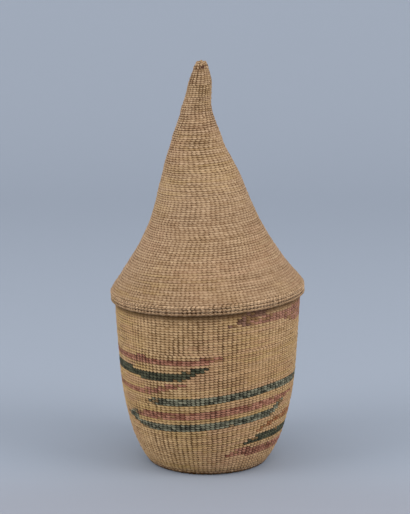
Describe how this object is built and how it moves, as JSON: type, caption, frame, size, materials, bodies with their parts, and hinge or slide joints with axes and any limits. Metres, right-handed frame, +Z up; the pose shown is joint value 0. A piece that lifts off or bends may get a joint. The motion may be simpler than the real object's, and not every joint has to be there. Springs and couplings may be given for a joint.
{
  "type": "lidded coiled basket",
  "caption": "Small coiled grass basket with stepped dyed bands and a tall, leaning, pointed lid that lifts off its mouth",
  "frame": {"origin": "middle of the base's underside, on the surface the basket stands on", "axes": "+Z up the basket; -Y is the front in the picture, +X its right; the spire leans toward -X"},
  "size_m": [0.1196, 0.1194, 0.25],
  "materials": {
    "grass": "matt stitched grass",
    "pale_grass": "matt stitched grass, paler",
    "coarse_grass": "matt, coarse grass coil",
    "green_strand": "matt, dark green dyed strand",
    "red_strand": "matt, faded red dyed strand",
    "rust_strand": "matt, rust dyed strand"
  },
  "bodies": {
    "basket": {"base_start": "coarse_grass", "base_disc": "grass", "foot_coil": "coarse_grass", "basket_wall": "grass", "mouth_rim": "coarse_grass", "band_left_upper_red": "red_strand", "band_left_green": "green_strand", "band_left_lower_red": "red_strand", "band_front_upper_green": "green_strand", "band_front_red": "red_strand", "band_front_lower_green": "green_strand", "band_right_rust": "rust_strand", "band_right_green": "green_strand", "band_right_red": "red_strand", "band_top_green": "green_strand", "band_top_red": "red_strand"},
    "lid": {"lid_rim_lower_coil": "pale_grass", "lid_rim_upper_coil": "pale_grass", "lid_cone": "pale_grass", "lid_spire": "grass", "lid_tip": "grass", "lid_top_knot": "coarse_grass"}
  },
  "joints": [
    {"name": "lid_lift", "type": "slide", "parent": "basket", "child": "lid", "axis": [0, 0, 1], "range_m": [0, 0.15]}
  ]
}
